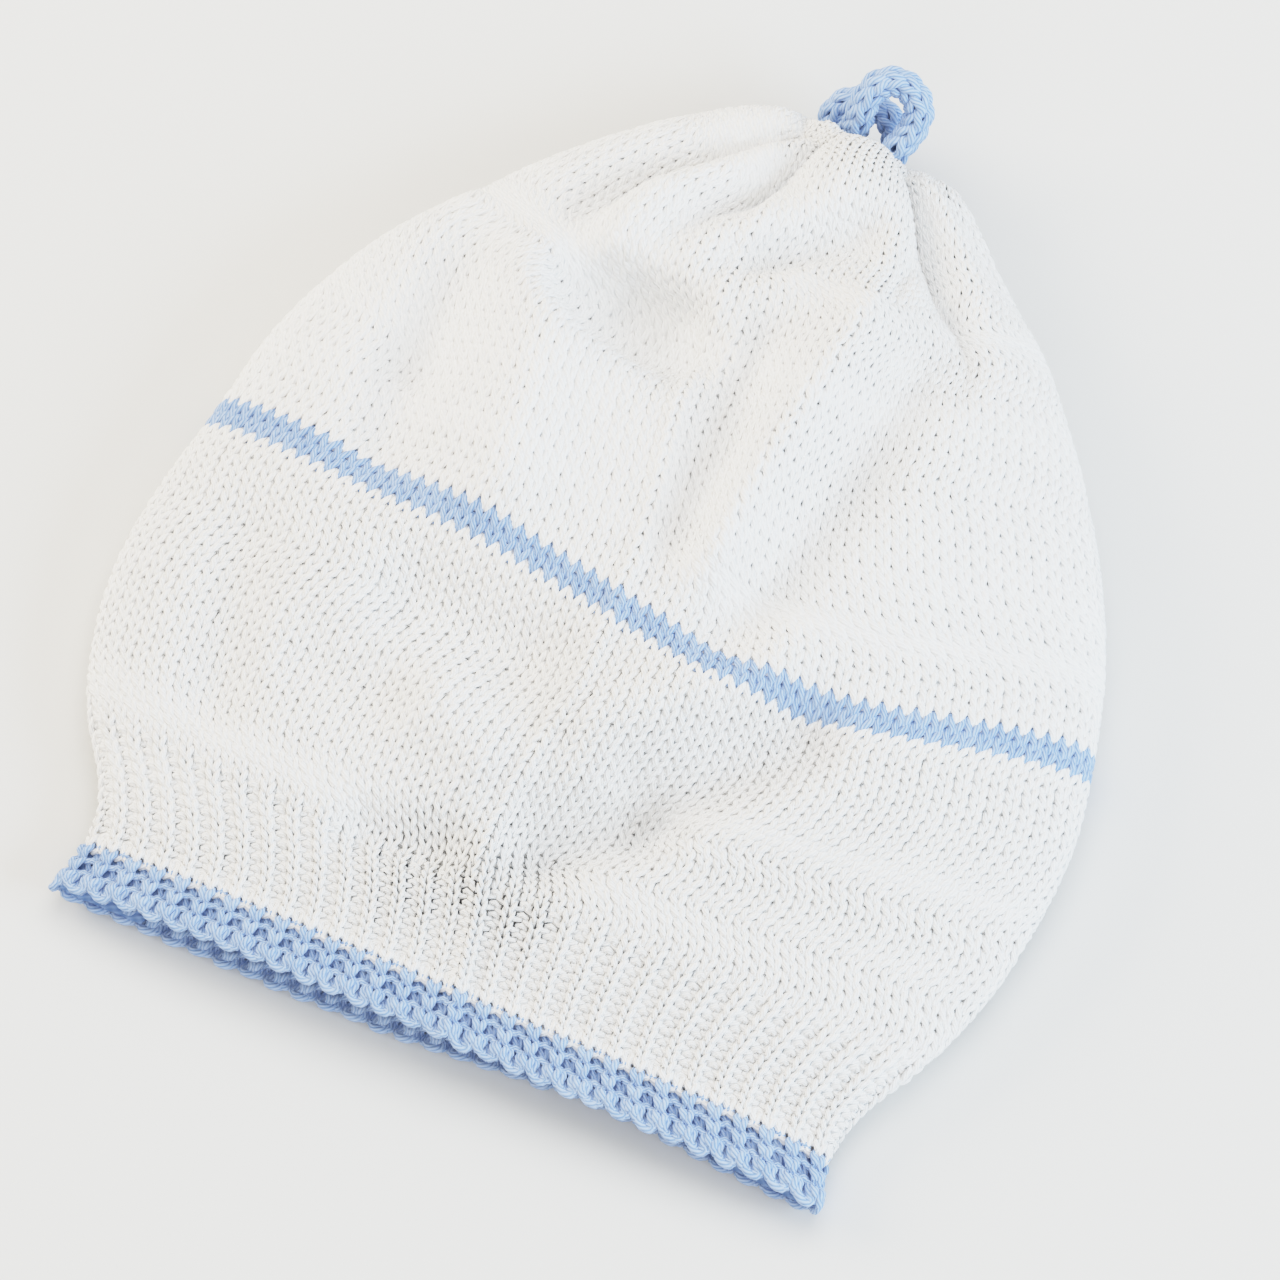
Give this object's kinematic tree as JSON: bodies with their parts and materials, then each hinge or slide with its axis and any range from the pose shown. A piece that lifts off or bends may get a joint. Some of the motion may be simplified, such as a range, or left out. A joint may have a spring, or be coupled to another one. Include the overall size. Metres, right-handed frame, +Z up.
{
  "type": "newborn hat",
  "caption": "Soft knitted newborn hat with a ribbed brim, a contrast edge and stripe, a gathered crown and a small cord loop at the top, lying flat",
  "frame": {"origin": "centre of the bounding box on the floor that the hat lies on", "axes": "+X across the hat towards the right side fold, +Y from the mouth to the gather, +Z up from the floor, with the back seam on the upper side"},
  "size_m": [0.1744, 0.1956, 0.0331],
  "materials": {
    "white_yarn": "matte knitted cotton",
    "blue_yarn": "matte knitted cotton"
  },
  "bodies": {
    "root": {"edge_band": "blue_yarn", "rib_band": "white_yarn", "lower_crown": "white_yarn", "stripe": "blue_yarn", "upper_crown": "white_yarn", "top_loop": "blue_yarn"}
  },
  "joints": []
}
